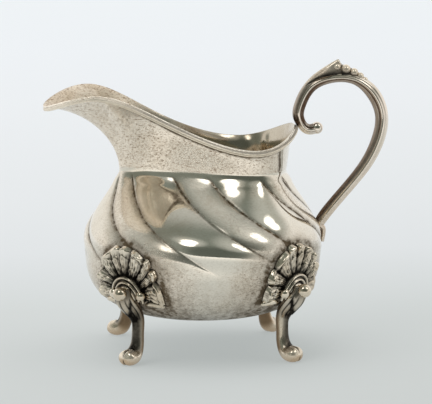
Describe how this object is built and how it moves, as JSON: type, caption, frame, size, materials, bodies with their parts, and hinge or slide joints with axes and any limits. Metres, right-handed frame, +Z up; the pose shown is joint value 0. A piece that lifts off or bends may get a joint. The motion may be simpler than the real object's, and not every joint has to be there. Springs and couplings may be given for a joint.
{
  "type": "milk jug",
  "caption": "Low-bellied silver milk jug with a swirl-lobed shoulder, pinched throat, drooping lip, scroll handle and shell-kneed scroll feet.",
  "frame": {"origin": "on the table, under the middle of the whole jug's box", "axes": "+X from the spout to the handle, +Z up, +Y to the side away from the viewer when the spout is at the left"},
  "size_m": [0.1248, 0.0862, 0.1039],
  "materials": {
    "polished_silver": "polished silver with fine specks of tarnish",
    "cast_silver": "cast and buffed silver, dark tarnish left in the recesses"
  },
  "bodies": {
    "root": {"body_shell": "polished_silver", "rim_wire": "polished_silver", "handle_scroll": "cast_silver", "thumb_leaf": "cast_silver", "leg_front_left": "cast_silver", "leg_front_right": "cast_silver", "leg_back_left": "cast_silver", "leg_back_right": "cast_silver", "shell_front_left": "cast_silver", "shell_front_right": "cast_silver", "shell_back_left": "cast_silver", "shell_back_right": "cast_silver"}
  },
  "joints": []
}
